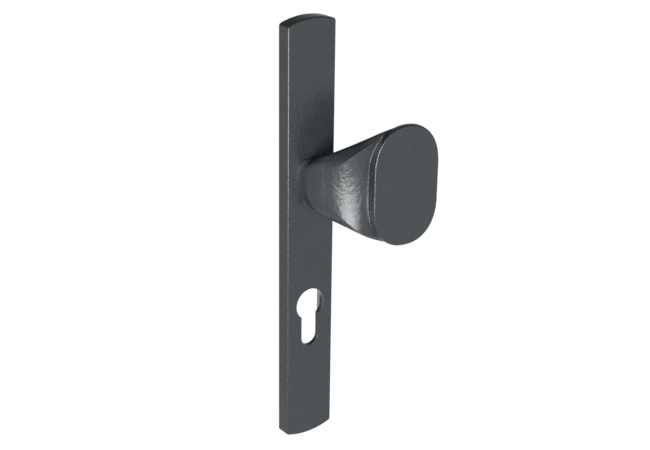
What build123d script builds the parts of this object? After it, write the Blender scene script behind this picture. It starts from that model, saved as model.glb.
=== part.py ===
from build123d import *
from math import copysign, cos, radians, sin, sqrt
import os

# A fixed, cranked door knob on a narrow hollow backplate with a profile keyhole.
# X runs across the plate, Z up, and the wall lies at Y = 0, so the front faces -Y.
# Heights are Z values. A depth is measured from the wall towards the room.

# Backplate casting
plate_width = 30.5
plate_length = 241.2
plate_depth = 8.0
plate_end_radius = 44.0
plate_corner = 1.8
plate_edge = 0.9
side_wall = 2.2
face_wall = 2.4
cavity_corner = 1.2

# Profile keyhole
keyhole_height = -40.0
keyhole_radius = 8.9
keyhole_slot_width = 11.0
keyhole_total = 33.9
keyhole_edge = 0.3
knob_above_keyhole = 72.0

# Inside of the casting
hub_width = 20.0
hub_length = 32.0
hub_corner = 4.0
rib_thickness = 1.6
rib_from_bush = 10.0
rib_from_knob = 39.0
rib_from_keyhole = 8.0

# Steel support plate in the hollow back
support_thickness = 2.5
support_recess = 0.3
support_gap = 0.3
support_window_width = 21.0
support_window_margin = 4.0
support_window_corner = 2.0

# Fixing bushes for the through-bolts
bush_from_end = 16.6
bush_neck_radius = 4.5
bush_flange = 11.0
bush_flange_thickness = 1.5
bush_nose_radius = 4.0
bush_nose_length = 1.6
bush_thread_radius = 2.1
bush_thread_end = 0.6
bush_boss_radius = 8.0
fit_gap = 0.1

# Countersunk screws through the support plate
knob_screw_radius = 2.5
knob_screw_head = 5.0
knob_screw_socket = 3.0
knob_screw_socket_depth = 1.4
knob_screw_spread = 15.0
knob_screw_bite = 6.5
support_screw_radius = 1.5
support_screw_head = 2.9
support_screw_length = 6.0
support_screw_slot = 0.7
support_screw_slot_depth = 0.8
support_screw_from_bush = 20.0
support_screw_from_knob = 28.0
support_boss_radius = 3.6
thread_gap = 0.05

# Knob
collar_width = 15.2
collar_height = 26.6
collar_side_radius = 35.0
collar_thickness = 2.0
collar_edge = 0.3
neck_margin = 0.2
neck_inset = 0.1
rim_pad = 4.0
rim_pad_width = 5.9
head_width = 39.4
head_height = 67.2
head_flat = 18.6
head_fullness = 2.25
head_edge = 0.7
head_rim = 3.2
head_tilt = 8.3
crank = 36.7
reach = 35.4
neck_sections = 14
fan_hollow = 5.2
fan_corner = 0.4
spigot_width = 12.0
spigot_height = 23.2
spigot_length = 1.8
spigot_gap = 0.15

knob_height = keyhole_height + knob_above_keyhole
bush_height = plate_length / 2 - bush_from_end
rib_heights = (
    bush_height - rib_from_bush,
    knob_height + rib_from_knob,
    keyhole_height + keyhole_radius + rib_from_keyhole,
    keyhole_height + keyhole_radius - keyhole_total - rib_from_keyhole,
    -bush_height + rib_from_bush,
)
support_screw_heights = (
    bush_height - support_screw_from_bush,
    knob_height + support_screw_from_knob,
    knob_height - support_screw_from_knob,
    -bush_height + support_screw_from_bush,
)
rim_start = reach - head_rim
support_front = support_recess + support_thickness
cavity_depth = plate_depth - face_wall
front = Plane(origin=(0, 0, 0), x_dir=(1, 0, 0), z_dir=(0, -1, 0))


def prism(sketch, start, end):
    """The sketch, drawn as seen from the room, made solid between two depths."""
    return extrude(front.offset(start) * sketch, end - start)


def plate_outline(inset, corner):
    """The plate's outline, moved inwards: straight sides and curved ends."""
    half_width = plate_width / 2 - inset
    half_length = plate_length / 2 - inset
    radius = plate_end_radius - inset
    side_end = half_length - radius + sqrt(radius**2 - half_width**2)
    edges = Line((-half_width, -side_end), (-half_width, side_end))
    edges += ThreePointArc((-half_width, side_end), (0, half_length), (half_width, side_end))
    edges += Line((half_width, side_end), (half_width, -side_end))
    edges += ThreePointArc((half_width, -side_end), (0, -half_length), (-half_width, -side_end))
    outline = make_face(edges)
    return fillet(outline.vertices(), corner)


def keyhole_outline():
    """A round plug hole with the narrower, round-ended slot below it."""
    slot_radius = keyhole_slot_width / 2
    slot_end = keyhole_height + keyhole_radius - keyhole_total + slot_radius
    slot_middle = (keyhole_height + slot_end) / 2
    outline = Pos(0, keyhole_height) * Circle(keyhole_radius)
    outline += Pos(0, slot_middle) * Rectangle(keyhole_slot_width, keyhole_height - slot_end)
    outline += Pos(0, slot_end) * Circle(slot_radius)
    return outline


def spigot_outline(gap):
    return Pos(0, knob_height) * Ellipse(spigot_width / 2 + gap, spigot_height / 2 + gap)


def knob_screw_heights():
    return (knob_height + knob_screw_spread / 2, knob_height - knob_screw_spread / 2)


def make_backplate():
    body = prism(plate_outline(0, plate_corner), 0, plate_depth)
    body = fillet(body.edges().group_by(Axis.Y)[0], plate_edge)
    body -= prism(plate_outline(side_wall, cavity_corner), 0, cavity_depth)

    seats = Pos(0, knob_height) * RectangleRounded(hub_width, hub_length, hub_corner)
    for height in support_screw_heights:
        seats += Pos(0, height) * Circle(support_boss_radius)
    for height in rib_heights:
        seats += Pos(0, height) * Rectangle(plate_width - side_wall, rib_thickness)
    for height in (bush_height, -bush_height):
        seats += Pos(0, height) * Circle(bush_boss_radius)
    body += prism(seats & plate_outline(side_wall / 2, cavity_corner), support_front, cavity_depth)

    keyhole = prism(keyhole_outline(), 0, plate_depth)
    body -= keyhole
    keyhole_rim = [
        edge for edge in body.edges().group_by(Axis.Y)[0]
        if edge.center().Z < knob_height - hub_length and abs(edge.center().X) < plate_width / 3
        and edge.center().Z > -plate_length / 3
    ]
    body = fillet(keyhole_rim, keyhole_edge)

    body -= prism(spigot_outline(spigot_gap), plate_depth - spigot_length - spigot_gap, plate_depth)
    for height in knob_screw_heights():
        body -= prism(Pos(0, height) * Circle(knob_screw_radius + fit_gap), 0, plate_depth)
    pilot_end = support_recess + support_screw_length + fit_gap
    for height in support_screw_heights:
        body -= prism(Pos(0, height) * Circle(support_screw_radius + thread_gap), 0, pilot_end)
    flange_end = support_front + bush_flange_thickness + fit_gap
    for height in (bush_height, -bush_height):
        recess = Pos(0, height) * RegularPolygon(bush_flange / 2 + fit_gap, 6, major_radius=False)
        body -= prism(recess, 0, flange_end)
        nose = Pos(0, height) * Circle(bush_nose_radius + fit_gap)
        body -= prism(nose, 0, flange_end + bush_nose_length)
    return body


def countersink(height, shank, head, gap):
    """The flared seat of a countersunk head, from the support plate's back face inwards."""
    flare = head - shank
    axis = Plane(origin=(0, -support_recess, height), x_dir=(1, 0, 0), z_dir=(0, -1, 0))
    return axis * Pos(0, 0, flare / 2) * Cone(head + gap, shank + gap, flare)


def make_support_plate():
    plate = prism(plate_outline(side_wall + support_gap, cavity_corner), support_recess, support_front)
    window_top = keyhole_height + keyhole_radius + support_window_margin
    window_length = keyhole_total + 2 * support_window_margin
    window = RectangleRounded(support_window_width, window_length, support_window_corner)
    plate -= prism(Pos(0, window_top - window_length / 2) * window, support_recess, support_front)
    for height in (bush_height, -bush_height):
        plate -= prism(Pos(0, height) * Circle(bush_neck_radius + fit_gap), support_recess, support_front)
    for height in knob_screw_heights():
        hole = Pos(0, height) * Circle(knob_screw_radius + fit_gap)
        plate -= prism(hole, support_recess, support_front)
        plate -= countersink(height, knob_screw_radius, knob_screw_head, fit_gap)
    for height in support_screw_heights:
        hole = Pos(0, height) * Circle(support_screw_radius + fit_gap)
        plate -= prism(hole, support_recess, support_front)
        plate -= countersink(height, support_screw_radius, support_screw_head, fit_gap)
    return plate


def make_knob_screw(height):
    end = plate_depth + knob_screw_bite
    screw = prism(Pos(0, height) * Circle(knob_screw_radius), support_recess, end)
    screw = chamfer(screw.edges().group_by(Axis.Y)[0], knob_screw_radius / 4)
    screw += countersink(height, knob_screw_radius, knob_screw_head, 0)
    socket = Pos(0, height) * RegularPolygon(knob_screw_socket / 2, 6, major_radius=False)
    screw -= prism(socket, support_recess, support_recess + knob_screw_socket_depth)
    return screw


def make_support_screw(height):
    end = support_recess + support_screw_length
    screw = prism(Pos(0, height) * Circle(support_screw_radius), support_recess, end)
    screw = chamfer(screw.edges().group_by(Axis.Y)[0], support_screw_radius / 3)
    screw += countersink(height, support_screw_radius, support_screw_head, 0)
    cross = Rectangle(support_screw_head * 1.2, support_screw_slot)
    cross += Rectangle(support_screw_slot, support_screw_head * 1.2)
    screw -= prism(Pos(0, height) * cross, support_recess, support_recess + support_screw_slot_depth)
    return screw


def make_fixing_bush(height):
    """Turned bush: its neck passes the support plate and its hexagon lies in the casting."""
    flange_end = support_front + bush_flange_thickness
    nose_end = flange_end + bush_nose_length
    hexagon = Pos(0, height) * RegularPolygon(bush_flange / 2, 6, major_radius=False)
    bush = prism(Pos(0, height) * Circle(bush_neck_radius), 0, support_front)
    bush += prism(hexagon, support_front, flange_end)
    bush += prism(Pos(0, height) * Circle(bush_nose_radius), flange_end, nose_end)
    bush -= prism(Pos(0, height) * Circle(bush_thread_radius), 0, nose_end - bush_thread_end)
    return bush


def leaning(aside, depth, tilt):
    """A plane across the knob at its middle height, turned by the tilt towards the left."""
    turn = radians(tilt)
    across = (cos(turn), -sin(turn), 0)
    outwards = (-sin(turn), -cos(turn), 0)
    return Plane(origin=(aside, -depth, knob_height), x_dir=across, z_dir=outwards)


def oval(half_width, half_height, flat, fullness):
    """Upright oval: short straight sides of the given length between rounded ends."""
    rise = half_height - flat / 2
    upper = []
    for number in range(13):
        across = cos(radians(15 * number))
        upwards = sin(radians(15 * number))
        across = copysign(abs(across) ** (2 / fullness), across)
        upper.append((half_width * across, flat / 2 + rise * abs(upwards) ** (2 / fullness)))
    lower = [(-across, -height) for across, height in upper]
    edges = Line(lower[-1], upper[0]) + Line(upper[-1], lower[0])
    edges += Spline(upper, tangents=((0, 1), (0, -1)))
    edges += Spline(lower, tangents=((0, -1), (0, 1)))
    return make_face(edges)


def mix(first, last, share):
    return first + (last - first) * share


# How the neck turns into the head, from the collar to the head's rim. Each row gives the
# share of the way, then the share of the crank, of the growth in width and in height, of
# the flat and of the tilt.
neck_stations = (
    (0.000, 0.000, 0.000, 0.000, 0.02, 0.0),
    (0.078, 0.000, 0.000, 0.000, 0.02, 0.0),
    (0.248, 0.012, -0.030, 0.143, 0.03, 0.0),
    (0.435, 0.158, 0.030, 0.320, 0.06, 0.0),
    (0.606, 0.350, 0.363, 0.522, 0.14, 0.1),
    (0.745, 0.531, 0.720, 0.695, 0.22, 0.3),
    (0.879, 0.766, 1.240, 0.915, 0.40, 0.7),
    (1.000, 1.000, 1.000, 1.000, 1.00, 1.0),
)

# Plan of the creased fan surface, seen from above. Each point gives the share of the way
# from the neck's left side to the head's left side, the share of the way to the rim, and
# the share of the hollow that it has at the knob's middle height.
fan_points = (
    (0.000, 0.000, 0.00),
    (0.015, 0.093, 0.00),
    (0.064, 0.186, 0.00),
    (0.178, 0.342, 0.03),
    (0.280, 0.460, 0.10),
    (0.370, 0.581, 0.29),
    (0.487, 0.739, 0.62),
    (0.602, 0.837, 0.87),
    (0.715, 0.908, 0.97),
    (0.837, 0.925, 0.85),
    (0.943, 0.927, 0.70),
    (1.203, 0.945, 0.63),
)


def neck_slopes(number):
    """Slope at a station, from its neighbours, so that the neck runs smoothly through it."""
    before = neck_stations[max(number - 1, 0)]
    after = neck_stations[min(number + 1, len(neck_stations) - 1)]
    return [(last - first) / (after[0] - before[0]) for first, last in zip(before, after)]


def neck_station(along):
    """The stations' shares at any place along the neck."""
    number = sum(1 for station in neck_stations[1:-1] if station[0] <= along)
    first, last = neck_stations[number], neck_stations[number + 1]
    length = last[0] - first[0]
    t = (along - first[0]) / length
    shares = []
    for start, end, leaving, meeting in zip(first, last, neck_slopes(number), neck_slopes(number + 1)):
        bend = (1 - t) * leaving * length - t * meeting * length
        shares.append(mix(start, end, t * t * (3 - 2 * t)) + t * (1 - t) * bend)
    return shares


def make_neck():
    """Smooth loft from the collar's oval to the head's, leaning over to the right."""
    neck_half_width = collar_width / 2 - neck_margin
    neck_half_height = collar_height / 2 - neck_margin
    sections = []
    for number in range(neck_sections + 1):
        along, aside, wider, taller, flatter, turned = neck_station(number / neck_sections)
        section = oval(
            mix(neck_half_width, head_width / 2 - neck_inset, wider),
            mix(neck_half_height, head_height / 2 - neck_inset, taller),
            head_flat * flatter,
            mix(2, head_fullness, flatter**2),
        )
        depth = plate_depth + rim_start * along
        sections.append(leaning(crank * aside, depth, head_tilt * turned) * section)
    return loft(sections)


def make_head():
    """The head in front of its rim's back, with the front edge rounded."""
    back = leaning(crank, plate_depth + rim_start, head_tilt)
    head = extrude(back * oval(head_width / 2, head_height / 2, head_flat, head_fullness), head_rim)
    face = head.faces().sort_by(Axis(back.origin, back.z_dir))[-1]
    return fillet(face.edges(), head_edge)


def make_rim_pad():
    """The left end of the head's outline, which carries the rim's wall back to the fan."""
    back = leaning(crank, plate_depth + rim_start, head_tilt)
    pad = extrude(back * oval(head_width / 2, head_height / 2, head_flat, head_fullness), -rim_pad)
    middle = crank - head_width + rim_pad_width
    return pad & Pos(middle, -reach, knob_height) * Box(head_width, 2 * reach, 2 * head_height)


def fan_outline(height, hollow):
    """Everything in front of the fan surface at one height."""
    left = -collar_width / 2
    span = crank - head_width / 2 - left
    points = [
        (left + span * across, -plate_depth - rim_start * along + hollow * share)
        for across, along, share in fan_points
    ]
    past_face = -plate_depth - reach - head_width / 2
    far_left = left - head_width
    border = Polyline(points[-1], (points[-1][0], past_face), (far_left, past_face),
                      (far_left, points[0][1]), points[0])
    return Pos(0, 0, height) * make_face(Spline(points) + border)


def make_fan_cutter():
    """Everything in front of the fan surface, which is slightly hollow from top to bottom."""
    middle = fan_outline(knob_height, fan_hollow)
    top = fan_outline(knob_height + head_height / 2, 0)
    bottom = fan_outline(knob_height - head_height / 2, 0)
    return loft([bottom, middle, top])


def collar_outline():
    """Flat top and bottom, and slightly bowed sides."""
    half_height = collar_height / 2
    bow = collar_side_radius - sqrt(collar_side_radius**2 - half_height**2)
    side = collar_width / 2
    corner = side - bow
    edges = Line((-corner, half_height), (corner, half_height))
    edges += ThreePointArc((corner, half_height), (side, 0), (corner, -half_height))
    edges += Line((corner, -half_height), (-corner, -half_height))
    edges += ThreePointArc((-corner, -half_height), (-side, 0), (-corner, half_height))
    return Pos(0, knob_height) * make_face(edges)


def rim_corner(neck, rim, joined):
    """The hollow corner between the fan surface and the rim's wall."""
    back = leaning(crank, plate_depth + rim_start, head_tilt)
    return [
        edge for edge in new_edges(neck, rim, combined=joined)
        if edge.length > rim_pad and back.to_local_coords(edge.center()).Z < -fan_corner
    ]


def make_knob():
    neck = make_neck() - make_fan_cutter()
    rim = make_rim_pad() + make_head()
    body = neck + rim
    body = fillet(rim_corner(neck, rim, body), fan_corner)
    collar = prism(collar_outline(), plate_depth, plate_depth + collar_thickness)
    body += fillet(collar.edges().group_by(Axis.Y)[0], collar_edge)
    body += prism(spigot_outline(0), plate_depth - spigot_length, plate_depth)
    thread_start = plate_depth - spigot_length
    thread_end = plate_depth + knob_screw_bite + 1
    for height in knob_screw_heights():
        body -= prism(Pos(0, height) * Circle(knob_screw_radius + thread_gap), thread_start, thread_end)
    return body


parts = {
    "backplate": make_backplate(),
    "support_plate": make_support_plate(),
    "knob": make_knob(),
    "knob_screw_upper": make_knob_screw(knob_screw_heights()[0]),
    "knob_screw_lower": make_knob_screw(knob_screw_heights()[1]),
    "fixing_bush_top": make_fixing_bush(bush_height),
    "fixing_bush_bottom": make_fixing_bush(-bush_height),
}
for number, screw_height in enumerate(support_screw_heights, 1):
    parts[f"support_screw_{number}"] = make_support_screw(screw_height)

os.makedirs("parts", exist_ok=True)
for name, part in parts.items():
    export_step(part, f"parts/{name}.step")
    print(name, round(part.volume), "mm3", len(part.solids()), "solid")
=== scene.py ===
import bmesh
import bpy
import math
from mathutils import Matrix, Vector

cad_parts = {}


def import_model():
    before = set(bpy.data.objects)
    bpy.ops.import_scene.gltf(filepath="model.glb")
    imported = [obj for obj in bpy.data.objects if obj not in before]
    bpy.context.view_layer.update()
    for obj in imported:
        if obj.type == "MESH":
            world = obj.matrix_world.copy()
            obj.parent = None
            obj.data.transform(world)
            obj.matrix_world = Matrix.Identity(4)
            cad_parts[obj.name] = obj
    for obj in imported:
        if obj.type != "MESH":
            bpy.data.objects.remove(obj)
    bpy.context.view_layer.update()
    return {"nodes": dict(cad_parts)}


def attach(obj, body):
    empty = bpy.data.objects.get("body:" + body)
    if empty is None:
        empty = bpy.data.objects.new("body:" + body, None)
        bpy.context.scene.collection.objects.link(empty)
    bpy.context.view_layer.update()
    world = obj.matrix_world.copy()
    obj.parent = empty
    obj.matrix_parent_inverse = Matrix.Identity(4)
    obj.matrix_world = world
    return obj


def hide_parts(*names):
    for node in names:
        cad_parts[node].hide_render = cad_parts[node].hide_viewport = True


mm = 0.001

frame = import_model()
print("frame loaded with", len(frame["nodes"]), "nodes")


# a Wire is one output socket, and an expression on Wires adds Math nodes
class Wire:
    def __init__(self, shop, socket):
        self.shop = shop
        self.socket = socket

    def math(self, operation, first, second, clamp=False):
        settings = {"operation": operation, "use_clamp": clamp}
        return self.shop.node("ShaderNodeMath", settings, [first, second])

    def __add__(self, other):
        return self.math("ADD", self, other)

    def __radd__(self, other):
        return self.math("ADD", other, self)

    def __sub__(self, other):
        return self.math("SUBTRACT", self, other)

    def __rsub__(self, other):
        return self.math("SUBTRACT", other, self)

    def __mul__(self, other):
        return self.math("MULTIPLY", self, other)

    def __rmul__(self, other):
        return self.math("MULTIPLY", other, self)

    def __truediv__(self, other):
        return self.math("DIVIDE", self, other)

    def limited(self):
        return self.math("ADD", self, 0.0, clamp=True)


# a Shop builds one node tree, a new material's or the one that it is given
class Shop:
    def __init__(self, name, tree=None):
        self.material = None
        if tree is None:
            self.material = bpy.data.materials.new(name)
            self.material.use_nodes = True
            tree = self.material.node_tree
        self.tree = tree
        self.tree.nodes.clear()

    def node(self, kind, settings=None, inputs=None, out=0):
        made = self.tree.nodes.new(kind)
        for key, value in (settings or {}).items():
            setattr(made, key, value)
        pairs = inputs.items() if isinstance(inputs, dict) else enumerate(inputs or [])
        for key, value in pairs:
            if isinstance(value, Wire):
                self.tree.links.new(value.socket, made.inputs[key])
            else:
                made.inputs[key].default_value = value
        return Wire(self, made.outputs[out]) if made.outputs else None

    def noise(self, scale, detail=2.0, roughness=0.5):
        where = self.node("ShaderNodeTexCoord", out="Object")
        return self.node("ShaderNodeTexNoise", {"noise_dimensions": "3D"},
                         {"Vector": where, "Scale": scale, "Detail": detail, "Roughness": roughness})

    def blend(self, factor, first, second):
        colours = {"Factor": factor, 6: first, 7: second}
        return self.node("ShaderNodeMix", {"data_type": "RGBA"}, colours, out=2)

    # 1 where the camera looks straight at the surface
    def seen(self):
        straight = self.node("ShaderNodeLightPath", out="Is Camera Ray")
        through = self.node("ShaderNodeLightPath", out="Is Transmission Ray")
        return (straight + through).limited()

    def finish(self, surface, output="ShaderNodeOutputMaterial"):
        self.node(output, {}, {"Surface": surface})
        return self.material


def addObject(name, data):
    made = bpy.data.objects.new(name, data)
    bpy.context.scene.collection.objects.link(made)
    return made


# patches are faint clouds, peel the coat's waves and grain its fine texture
# a Size is in waves per metre, a Height in mm, and a Rough is what it adds to the roughness
powderLook = {
    "colour": (0.037, 0.045, 0.050, 1),
    "lighter": (0.045, 0.055, 0.061, 1),
    "roughness": 0.26,
    "ior": 1.8,
    "patchSize": 70.0,
    "patchRough": 0.08,
    "peelSize": 420.0,
    "peelHeight": 0.16,
    "peelStrength": 1.0,
    "peelRough": 0.10,
    "grainSize": 1700.0,
    "grainHeight": 0.006,
    "grainStrength": 0.6,
}


def makePowderCoat(look):
    shop = Shop("powderCoat")
    patches = shop.noise(look["patchSize"], 3.0)
    colour = shop.blend(patches, look["colour"], look["lighter"])
    peel = shop.noise(look["peelSize"], 2.0, 0.55)
    grain = shop.noise(look["grainSize"], 1.0)
    rough = (peel - 0.5) * look["peelRough"] + (patches - 0.5) * look["patchRough"] + look["roughness"]
    waves = shop.node("ShaderNodeBump", {}, {"Strength": look["peelStrength"], "Height": peel,
                                             "Distance": look["peelHeight"] * mm})
    relief = shop.node("ShaderNodeBump", {}, {"Strength": look["grainStrength"], "Height": grain,
                                              "Distance": look["grainHeight"] * mm, "Normal": waves})
    surface = shop.node("ShaderNodeBsdfPrincipled", {},
                        {"Base Color": colour, "Roughness": rough, "Normal": relief, "IOR": look["ior"]})
    return shop.finish(surface)


steelLooks = {
    "zincSteel": {"light": (0.58, 0.59, 0.61, 1), "dark": (0.47, 0.48, 0.50, 1), "roughness": 0.38},
    "screwSteel": {"light": (0.46, 0.46, 0.47, 1), "dark": (0.36, 0.36, 0.37, 1), "roughness": 0.42},
}

# the plating's clouds and its fine scratches, for both steels
platingLook = {
    "cloudSize": 300.0,
    "cloudRough": 0.15,
    "fineSize": 2500.0,
    "fineHeight": 0.02,
    "fineStrength": 0.5,
    "fineRough": 0.2,
}


def makeSteel(name, look, plating):
    shop = Shop(name)
    cloud = shop.noise(plating["cloudSize"], 4.0, 0.6)
    fine = shop.noise(plating["fineSize"], 2.0, 0.5)
    colour = shop.blend(cloud, look["light"], look["dark"])
    rough = (fine - 0.5) * plating["fineRough"] + (cloud - 0.5) * plating["cloudRough"] + look["roughness"]
    relief = shop.node("ShaderNodeBump", {}, {"Strength": plating["fineStrength"], "Height": fine,
                                              "Distance": plating["fineHeight"] * mm})
    surface = shop.node("ShaderNodeBsdfPrincipled", {},
                        {"Base Color": colour, "Roughness": rough, "Metallic": 1.0, "Normal": relief})
    return shop.finish(surface)


powderCoat = makePowderCoat(powderLook)
steels = {name: makeSteel(name, look, platingLook) for name, look in steelLooks.items()}
print("materials made")

for name, node in frame["nodes"].items():
    node.data.materials.clear()
    if name in ("backplate", "knob"):
        node.data.materials.append(powderCoat)
    elif "screw" in name:
        node.data.materials.append(steels["screwSteel"])
    else:
        node.data.materials.append(steels["zincSteel"])
print("CAD pieces dressed")

# The knob is one casting: spigot, collar, neck and head. Lengths in mm, depths from the plate's front.
# spigot: half width, half height, depth into the plate
# collar: half width, half height, radius of its bowed sides
# head: half width, half height, straight part of its sides, fullness of its ends
# columns: round the outline, the fan's, each corner's beside it and the rest's
# creaseRows: place across the plate, half height of the fan's crease there; creaseEnd is its last one
# neckRows: share of the way, then of the crank, of the growth in width and in height, of the flat
# and of the tilt
# fanRows: place across the plate, depth at the knob's middle height, further depth at its top and bottom
knobLook = {
    "height": 32.0,
    "plateDepth": 8.0,
    "spigot": (6.0, 11.6, 1.8),
    "collar": (7.6, 13.3, 35.0),
    "collarDepth": 3.2,
    "collarSteps": 9,
    "flareRange": (0.5, 1.6),
    "neck": (7.4, 13.1),
    "neckInset": 0.1,
    "head": (19.7, 33.6, 18.6, 2.25),
    "headRim": 3.2,
    "headEdge": 0.8,
    "edgeSteps": 5,
    "faceInset": 0.4,
    "tilt": 8.3,
    "crank": 36.7,
    "rimStart": 32.2,
    "rimCorner": 0.7,
    "cornerShare": 0.45,
    "cornerSteps": (0.25, 0.5, 0.75),
    "wallRange": (-8.0, 3.0),
    "softStart": 3.0,
    "softUntil": 0.5,
    "softLeast": 0.25,
    "neckSteps": 40,
    "fanSteps": 36,
    "turnRow": 0.62,
    "cutReach": 4.0,
    "creaseLeast": 4.0,
    "creaseEnd": (23.6, 28.5),
    "creaseRows": ((3.6, 14.4), (6.8, 18.1), (9.7, 21.2), (13.7, 24.2), (18.7, 26.7), (23.6, 28.5)),
    "columns": (48, 20, 60),
    "mergeWithin": 0.003,
    "neckRows": (
        (0.000, 0.000, 0.000, 0.000, 0.02, 0.0),
        (0.078, 0.000, 0.000, 0.000, 0.02, 0.0),
        (0.248, 0.012, -0.030, 0.143, 0.03, 0.0),
        (0.435, 0.158, 0.030, 0.318, 0.06, 0.0),
        (0.606, 0.350, 0.363, 0.510, 0.14, 0.1),
        (0.745, 0.531, 0.720, 0.680, 0.22, 0.3),
        (0.879, 0.766, 1.200, 0.855, 0.40, 0.7),
        (1.000, 1.000, 1.000, 1.000, 1.00, 1.0),
    ),
    "fanEntry": 8.0,
    "fanRows": (
        (-7.60, 0.0, 0.0),
        (-7.23, 3.0, 0.0),
        (-6.00, 6.0, 0.0),
        (-3.20, 10.9, 0.1),
        (-0.70, 14.2, 0.5),
        (1.50, 17.0, 1.8),
        (4.40, 20.1, 3.8),
        (7.20, 22.4, 5.0),
        (10.00, 24.1, 5.4),
        (13.00, 25.45, 4.9),
        (15.60, 26.25, 4.2),
        (18.00, 26.75, 3.7),
        (22.00, 27.25, 3.5),
        (24.00, 27.9, 3.5),
        (27.00, 29.6, 3.5),
        (40.00, 39.0, 3.5),
    ),
}


# the values of the rows at any place, on a smooth curve through them
def smoothRow(rows, place):
    number = sum(1 for row in rows[1:-1] if row[0] <= place)
    first, last = rows[number], rows[number + 1]
    before, after = rows[max(number - 1, 0)], rows[min(number + 2, len(rows) - 1)]
    length = last[0] - first[0]
    t = (place - first[0]) / length
    values = []
    for a, b, c, d in zip(before[1:], first[1:], last[1:], after[1:]):
        leaving = (c - a) / (last[0] - before[0]) * length
        meeting = (d - b) / (after[0] - first[0]) * length
        shift = (c - b) * (3 * t**2 - 2 * t**3)
        values.append(b + shift + (t**3 - 2 * t**2 + t) * leaving + (t**3 - t**2) * meeting)
    return values


# where isLow turns from true to false, by halving the span
def halve(low, high, isLow, times=34):
    for step in range(times):
        middle = (low + high) / 2
        if isLow(middle):
            low = middle
        else:
            high = middle
    return (low + high) / 2


def mixed(first, last, share):
    return first + (last - first) * share


# a spot on the curve that leaves low and meets high, drawn towards the corner between them
def rounded(low, corner, high, step):
    return tuple((1 - step) ** 2 * a + 2 * step * (1 - step) * b + step**2 * c
                 for a, b, c in zip(low, corner, high))


# flat is the straight part of the sides; power 2 is an ellipse, and more is fuller
class Oval:
    def __init__(self, wide, tall, flat, power):
        self.wide, self.tall, self.flat, self.power = wide, tall, flat, power
        self.rise = tall - flat / 2

    def side(self, v):
        rest = max(abs(v) - self.flat / 2, 0.0) / self.rise
        return self.wide * max(1.0 - rest**self.power, 0.0) ** (1 / self.power)

    def around(self, angle):
        c, s = math.cos(angle), math.sin(angle)
        u = math.copysign(self.wide * abs(c) ** (2 / self.power), c)
        return u, math.copysign(self.flat / 2 + self.rise * abs(s) ** (2 / self.power), s)

    # one place for each column: the fan's, upper left, right and lower left
    def places(self, columns, crease):
        fan, corner, right = columns
        lean = max(crease - self.flat / 2, 0.0) / self.rise
        start = math.asin(min(lean, 1.0) ** (self.power / 2))
        quarter = math.pi / 2
        spots = []
        for number in range(fan):
            v = crease * (2 * number / fan - 1)
            spots.append((-self.side(v), v))
        for number in range(corner):
            u, v = self.around(mixed(start, quarter, number / corner))
            spots.append((-u, v))
        for number in range(right):
            spots.append(self.around(mixed(quarter, -quarter, number / right)))
        for number in range(corner):
            u, v = self.around(mixed(-quarter, -start, number / corner))
            spots.append((-u, v))
        return spots


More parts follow.
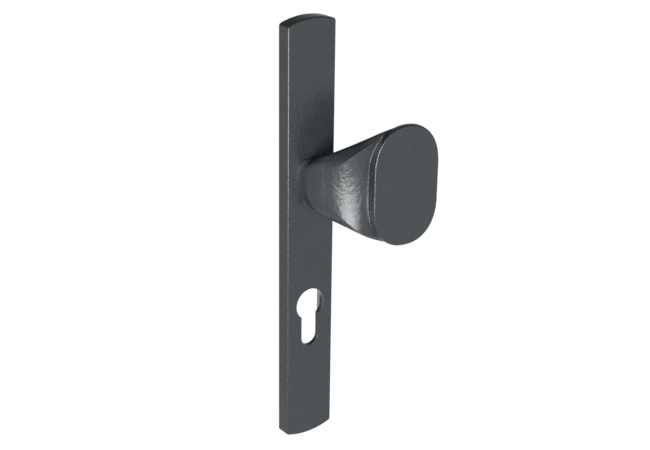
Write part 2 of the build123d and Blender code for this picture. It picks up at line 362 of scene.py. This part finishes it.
class KnobShape:
    def __init__(self, look):
        self.look = look
        self.head = Oval(*look["head"])
        self.tilt = math.radians(look["tilt"])
        self.fan = look["columns"][0]
        self.lastCrease = look["creaseEnd"][1]
        self.startAlong = look["collarDepth"] / look["rimStart"]
        heights = [self.lastCrease * (2 * number / self.fan - 1) for number in range(self.fan + 1)]
        self.feet = [self.wallFoot(v) for v in heights]
        self.corner = [min(look["rimCorner"], look["cornerShare"] * abs(foot[0])) for foot in self.feet]

    def fanDepth(self, x, v):
        rows = self.look["fanRows"]
        if x < rows[0][0]:
            return (x - rows[0][0]) * self.look["fanEntry"]
        middle, further = smoothRow(rows, x)
        return middle + further * (v / self.head.tall) ** 2

    # the neck's whole outline, its place and its tilt at a share of the way
    def station(self, along):
        look = self.look
        aside, wider, taller, flatter, turned = smoothRow(look["neckRows"], along)
        oval = Oval(mixed(look["neck"][0], self.head.wide - look["neckInset"], wider),
                    mixed(look["neck"][1], self.head.tall - look["neckInset"], taller),
                    self.head.flat * flatter, mixed(2.0, self.head.power, flatter**2))
        return oval, look["crank"] * aside, look["rimStart"] * along, math.radians(look["tilt"] * turned)

    # where the fan meets a station's plane, across from its middle
    def cut(self, station, v):
        oval, x, depth, tilt = station
        left = -oval.wide - self.look["cutReach"]

        def inFront(u):
            return depth + u * math.sin(tilt) > self.fanDepth(x + u * math.cos(tilt), v)

        if not inFront(left):
            return left
        return halve(left, oval.wide, inFront)

    def crease(self, station):
        oval = station[0]
        height = halve(0.0, oval.tall, lambda v: self.cut(station, v) > -oval.side(v))
        return max(height, self.look["creaseLeast"])

    # where the head's wall meets the fan: rise, place across, depth
    def wallFoot(self, v):
        look = self.look
        u = -self.head.side(v)

        def place(w):
            x = look["crank"] + u * math.cos(self.tilt) - w * math.sin(self.tilt)
            return x, look["rimStart"] + u * math.sin(self.tilt) + w * math.cos(self.tilt)

        w = halve(*look["wallRange"], lambda w: place(w)[1] < self.fanDepth(place(w)[0], v))
        return w, *place(w)

    def onPlane(self, spot, x, depth, tilt):
        u, v = spot
        return x + u * math.cos(tilt), v, depth + u * math.sin(tilt)

    # how far along the neck, past a start, its left outline passes nearest to a spot of the crease
    def alongAt(self, start, place, v):
        def before(along):
            oval, x, depth, tilt = self.station(along)
            across = x - oval.side(v) * math.cos(tilt) - place
            out = depth - oval.side(v) * math.sin(tilt) - self.fanDepth(place, v)
            return across + out < 0

        return halve(start, 1.0, before)

    # the neck's outline with the fan cut in, softly near the collar
    def neckRow(self, along):
        look = self.look
        station = self.station(along)
        oval, x, depth, tilt = station
        soft = look["softStart"] * max(1.0 - along / look["softUntil"], 0.0) + look["softLeast"]
        spots = []
        for u, v in oval.places(look["columns"], self.crease(station)):
            if u < 0 and abs(v) < oval.tall:
                edge, cut = -oval.side(v), self.cut(station, v)
                u += max(edge, cut) - edge + max(soft - abs(edge - cut), 0.0) ** 2 / (4 * soft)
            spots.append(self.onPlane((u, v), x, depth, tilt))
        return spots

    # the collar's outline flares out of the neck towards the plate
    def collarRow(self, share):
        wide, tall, bow = self.look["collar"]
        row = []
        for u, v, depth in self.neckRow(self.startAlong * share):
            def inside(k):
                side = wide - bow + math.sqrt(bow**2 - (k * v) ** 2)
                return abs(k * v) < tall and abs(k * u) < side

            k = mixed(1.0, halve(*self.look["flareRange"], inside), (1 - share) ** 2)
            row.append((k * u, k * v, self.look["collarDepth"] * share))
        return row

    def spigotRow(self, depth):
        wide, tall, deep = self.look["spigot"]
        outline = Oval(wide, tall, 0.0, 2.0).places(self.look["columns"], tall / 2)
        return [(u, v, depth * deep) for u, v in outline]

    # from the last neck row on, the left side is the fan, up to its corner with the head's wall
    def fanPart(self, turned):
        look, fan = self.look, self.fan
        along = look["turnRow"]
        rows = []
        for number in range(1, look["fanSteps"] + 1):
            share = number / look["fanSteps"]
            place = mixed(turned[0][0], look["creaseEnd"][0], share)
            crease = smoothRow(look["creaseRows"], place)[0]
            along = self.alongAt(along, place, crease)
            oval, x, depth, tilt = self.station(along)
            row = [self.onPlane(spot, x, depth, tilt) for spot in oval.places(look["columns"], crease)]
            row[0] = (place, -crease, self.fanDepth(place, crease))
            row[fan] = (place, crease, self.fanDepth(place, crease))
            for column in range(1, fan):
                x = mixed(turned[column][0], self.feet[column][1] - self.corner[column], share)
                v = crease * (2 * column / fan - 1)
                row[column] = (x, v, self.fanDepth(x, v))
            rows.append(row)
        return rows

    # a small round corner takes the fan up into the head's wall
    def wallPart(self, lower):
        look = self.look
        back = self.head.places(look["columns"], self.lastCrease)
        wallRow = [self.onPlane(spot, look["crank"], look["rimStart"], self.tilt) for spot in back]
        foot, upper = list(wallRow), list(wallRow)
        for column in range(1, self.fan):
            v = back[column][1]
            w, x, depth = self.feet[column]
            r = self.corner[column]
            foot[column] = (x, v, depth)
            upper[column] = (x - r * math.sin(self.tilt), v, depth + r * math.cos(self.tilt))
        rows = [[rounded(*spots, step) for spots in zip(lower, foot, upper)] for step in look["cornerSteps"]]
        return rows + [upper, wallRow]

    # the head's rim and the quarter round of its front edge
    def rimPart(self):
        look, head = self.look, self.head
        rows = []
        for number in range(look["edgeSteps"] + 1):
            turn = math.radians(90 * number / look["edgeSteps"])
            inset = look["headEdge"] * (1 - math.cos(turn))
            rise = look["headRim"] - look["headEdge"] * (1 - math.sin(turn))
            x = look["crank"] - rise * math.sin(self.tilt)
            depth = look["rimStart"] + rise * math.cos(self.tilt)
            face = Oval(head.wide - inset, head.tall - inset, head.flat, head.power)
            spots = face.places(look["columns"], self.lastCrease)
            rows.append([self.onPlane(spot, x, depth, self.tilt) for spot in spots])
        return rows

    # all outlines from the spigot's end to the face, each with the same columns
    def makeRows(self):
        look = self.look
        rows = [self.spigotRow(-1), self.spigotRow(0)]
        rows += [self.collarRow(number / look["collarSteps"]) for number in range(look["collarSteps"])]
        for number in range(look["neckSteps"] + 1):
            rows.append(self.neckRow(mixed(self.startAlong, look["turnRow"], number / look["neckSteps"])))
        rows += self.fanPart(rows[-1])
        rows += self.wallPart(rows[-1])
        return rows + self.rimPart()


def makeKnob(look):
    rows = KnobShape(look).makeRows()
    form = bmesh.new()
    bmesh.ops.create_circle(form, cap_ends=True, segments=len(rows[0]), radius=1.0)
    ring = list(form.verts)
    edges = list(form.edges)

    def place(verts, row):
        for vert, (x, v, depth) in zip(verts, row):
            vert.co = (x, -look["plateDepth"] - depth, look["height"] + v)

    place(ring, rows[0])
    # the fan's two creases stay sharp from half way up the neck to the head's wall; 2 for the spigot
    creaseStart = look["collarSteps"] + look["neckSteps"] // 2
    creaseStop = 2 + look["collarSteps"] + look["neckSteps"] + look["fanSteps"]
    for number, row in enumerate(rows[1:]):
        grown = bmesh.ops.extrude_edge_only(form, edges=edges)["geom"]
        made = [part for part in grown if isinstance(part, bmesh.types.BMVert)]
        known = set(ring)
        links = {edge.other_vert(vert): vert for vert in made for edge in vert.link_edges
                 if edge.other_vert(vert) in known}
        if creaseStart < number < creaseStop:
            for column in (0, look["columns"][0]):
                form.edges.get((ring[column], links[ring[column]])).smooth = False
        ring = [links[vert] for vert in ring]
        edges = [part for part in grown if isinstance(part, bmesh.types.BMEdge)]
        place(ring, row)
    face = bmesh.ops.contextual_create(form, geom=edges)["faces"]
    bmesh.ops.inset_region(form, faces=face, thickness=look["faceInset"], use_even_offset=True)
    bmesh.ops.remove_doubles(form, verts=form.verts, dist=look["mergeWithin"])
    bmesh.ops.recalc_face_normals(form, faces=form.faces)
    bmesh.ops.scale(form, vec=(mm, mm, mm), verts=form.verts)
    for face in form.faces:
        face.smooth = True
    mesh = bpy.data.meshes.new("castKnob")
    form.to_mesh(mesh)
    form.free()
    return addObject("castKnob", mesh)


castKnob = makeKnob(knobLook)
castKnob.data.materials.append(powderCoat)
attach(castKnob, "root")
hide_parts("knob")
print("knob cast", len(castKnob.data.polygons), "faces")

# lengths in metres; Gloss is what reflections see of the floor, the walls and the ceiling
# a floor patch is its place, its size and what it adds to the floor's gloss
stageLook = {
    "floorHeight": -0.50,
    "floorSize": 5.0,
    "floorColour": 0.8,
    "floorLift": 0.97,
    "floorGloss": 0.47,
    "floorPatches": ((-1.35, -0.25, 0.7, -0.5), (0.2, 0.3, 0.8, 1.9), (0.5, -1.4, 0.5, 0.4)),
    "roomLight": 0.06,
    "wallGloss": 0.5,
    "ceilingGloss": 0.1,
    "ceilingStart": 0.05,
    "ceilingSlope": 2.5,
}


def makeFloor(look):
    form = bmesh.new()
    bmesh.ops.create_grid(form, x_segments=1, y_segments=1, size=look["floorSize"] / 2)
    bmesh.ops.translate(form, vec=(0, 0, look["floorHeight"]), verts=form.verts)
    mesh = bpy.data.meshes.new("studioFloor")
    form.to_mesh(mesh)
    form.free()
    shop = Shop("studioWhite")
    mirrored = shop.node("ShaderNodeLightPath", out="Is Glossy Ray")
    shade = look["floorColour"]
    plain = shop.node("ShaderNodeBsdfDiffuse", {}, {"Color": (shade, shade, shade, 1)})
    lift = shop.node("ShaderNodeEmission", {}, {"Strength": shop.seen() * look["floorLift"]})
    table = shop.node("ShaderNodeAddShader", {}, [plain, lift])
    where = shop.node("ShaderNodeTexCoord", out="Object")
    strength = look["floorGloss"]
    for x, y, size, change in look["floorPatches"]:
        spot = [where, (x, y, 0.0)]
        far = shop.node("ShaderNodeVectorMath", {"operation": "DISTANCE"}, spot, out="Value")
        strength = (1.0 - far / size).limited() * change + strength
    gloss = shop.node("ShaderNodeEmission", {}, {"Strength": strength})
    mesh.materials.append(shop.finish(shop.node("ShaderNodeMixShader", {}, [mirrored, table, gloss])))
    addObject("studioFloor", mesh)


def makeRoom(look):
    world = bpy.data.worlds.new("studioRoom")
    bpy.context.scene.world = world
    world.use_nodes = True
    shop = Shop("studioRoom", world.node_tree)
    seen = shop.seen()
    mirrored = shop.node("ShaderNodeLightPath", out="Is Glossy Ray")
    way = shop.node("ShaderNodeTexCoord", out="Generated")
    rise = shop.node("ShaderNodeSeparateXYZ", {}, {"Vector": way}, out="Z")
    ceiling = ((rise - look["ceilingStart"]) * look["ceilingSlope"]).limited()
    gloss = ceiling * (look["ceilingGloss"] - look["wallGloss"]) + look["wallGloss"]
    plain = mirrored * (gloss - look["roomLight"]) + look["roomLight"]
    strength = seen + (1.0 - seen) * plain
    light = shop.node("ShaderNodeBackground", {}, {"Color": (1, 1, 1, 1), "Strength": strength})
    shop.finish(light, "ShaderNodeOutputWorld")


# azimuth is to the left of straight ahead, both angles in degrees, lengths in metres
lampLook = {
    "keySoftbox": {"azimuth": 36, "elevation": -3, "far": 1.3, "width": 0.74, "height": 0.84, "watts": 12.5},
    "sideFill": {"azimuth": 13, "elevation": -2, "far": 1.3, "width": 0.36, "height": 0.80, "watts": 3.0},
}


def makeLamp(name, look):
    a, e = math.radians(look["azimuth"]), math.radians(look["elevation"])
    back = Vector((-math.sin(a) * math.cos(e), -math.cos(a) * math.cos(e), math.sin(e)))
    light = bpy.data.lights.new(name, "AREA")
    light.shape = "RECTANGLE"
    light.size = look["width"]
    light.size_y = look["height"]
    light.energy = look["watts"]
    lamp = addObject(name, light)
    lamp.location = back * look["far"]
    lamp.rotation_euler = back.to_track_quat("Z", "Y").to_euler()
    lamp.visible_camera = False


makeFloor(stageLook)
makeRoom(stageLook)
for lampName, look in lampLook.items():
    makeLamp(lampName, look)
print("stage lit")

# place in metres, turn in degrees, lens and sensor in mm
cameraLook = {
    "place": (-0.42661, -0.57758, 0.30257),
    "turn": (67.43744, -0.69915, -37.15699),
    "lens": 79.58743,
    "sensor": 36.0,
    "clipStart": 0.01,
}
cameraData = bpy.data.cameras.new("photoCamera")
cameraData.lens = cameraLook["lens"]
cameraData.sensor_width = cameraLook["sensor"]
cameraData.clip_start = cameraLook["clipStart"]
camera = addObject("photoCamera", cameraData)
camera.location = cameraLook["place"]
camera.rotation_euler = [math.radians(angle) for angle in cameraLook["turn"]]
bpy.context.scene.camera = camera

bpy.context.scene.view_settings.view_transform = "Standard"

print("finishing")
